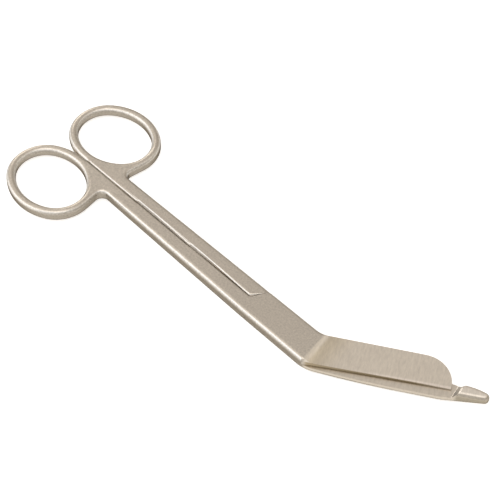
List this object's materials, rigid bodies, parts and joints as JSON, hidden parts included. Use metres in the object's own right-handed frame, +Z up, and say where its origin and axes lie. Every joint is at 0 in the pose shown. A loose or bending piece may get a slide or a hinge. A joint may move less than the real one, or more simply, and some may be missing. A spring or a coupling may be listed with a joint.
{
  "type": "bandage scissors",
  "caption": "Angled bandage scissors with a blunt upper blade and a flat rounded probe on the lower blade, for cutting dressings close to the skin.",
  "frame": {"origin": "on the pivot axis, on the surface the shut scissors lie on", "axes": "+X along the seam between the shanks, from the finger rings to the blades; +Z up along the pivot axis, away from the surface; +Y to the side the blades are angled to"},
  "size_m": [0.1823, 0.0579, 0.005],
  "materials": {
    "steel": "satin, fine brushed grain, polished edges",
    "screw": "satin, turned"
  },
  "bodies": {
    "lower_half": {"probe_half": "steel"},
    "upper_half": {"blunt_half": "steel", "pivot_screw": "screw"}
  },
  "joints": [
    {"name": "pivot", "type": "hinge", "parent": "lower_half", "child": "upper_half", "pos_m": [0, 0, 0], "axis": [0, 0, 1], "range_deg": [0, 115]}
  ]
}
